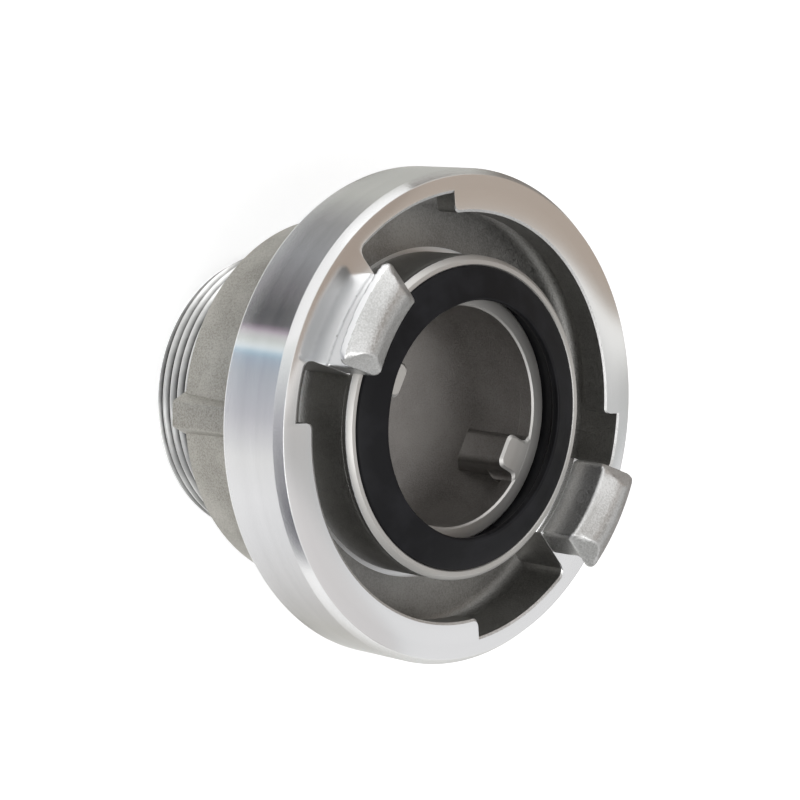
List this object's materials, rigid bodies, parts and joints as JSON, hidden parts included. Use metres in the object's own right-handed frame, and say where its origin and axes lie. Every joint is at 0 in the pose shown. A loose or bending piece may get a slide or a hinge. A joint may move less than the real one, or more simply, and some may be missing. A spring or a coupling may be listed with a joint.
{
  "type": "quarter turn fire hose coupling",
  "caption": "Quarter-turn fire hose coupling half with hooked lugs, ramped bayonet lips, a rubber lip seal and a male pipe thread at the back.",
  "frame": {"origin": "centre of the threaded end's annular face, which is the lowest plane", "axes": "+Z along the waterway towards the hooked front, +X through the middle of a hooked lug, +Y across between the lugs"},
  "size_m": [0.098, 0.098, 0.0709],
  "materials": {
    "aluminium": "as cast and bead-rough on the bell and in the track, bright turned on the ring, faces, rim and collar",
    "seal_rubber": "satin black moulded rubber"
  },
  "bodies": {
    "root": {"coupling_body": "aluminium", "lip_seal": "seal_rubber"}
  },
  "joints": []
}
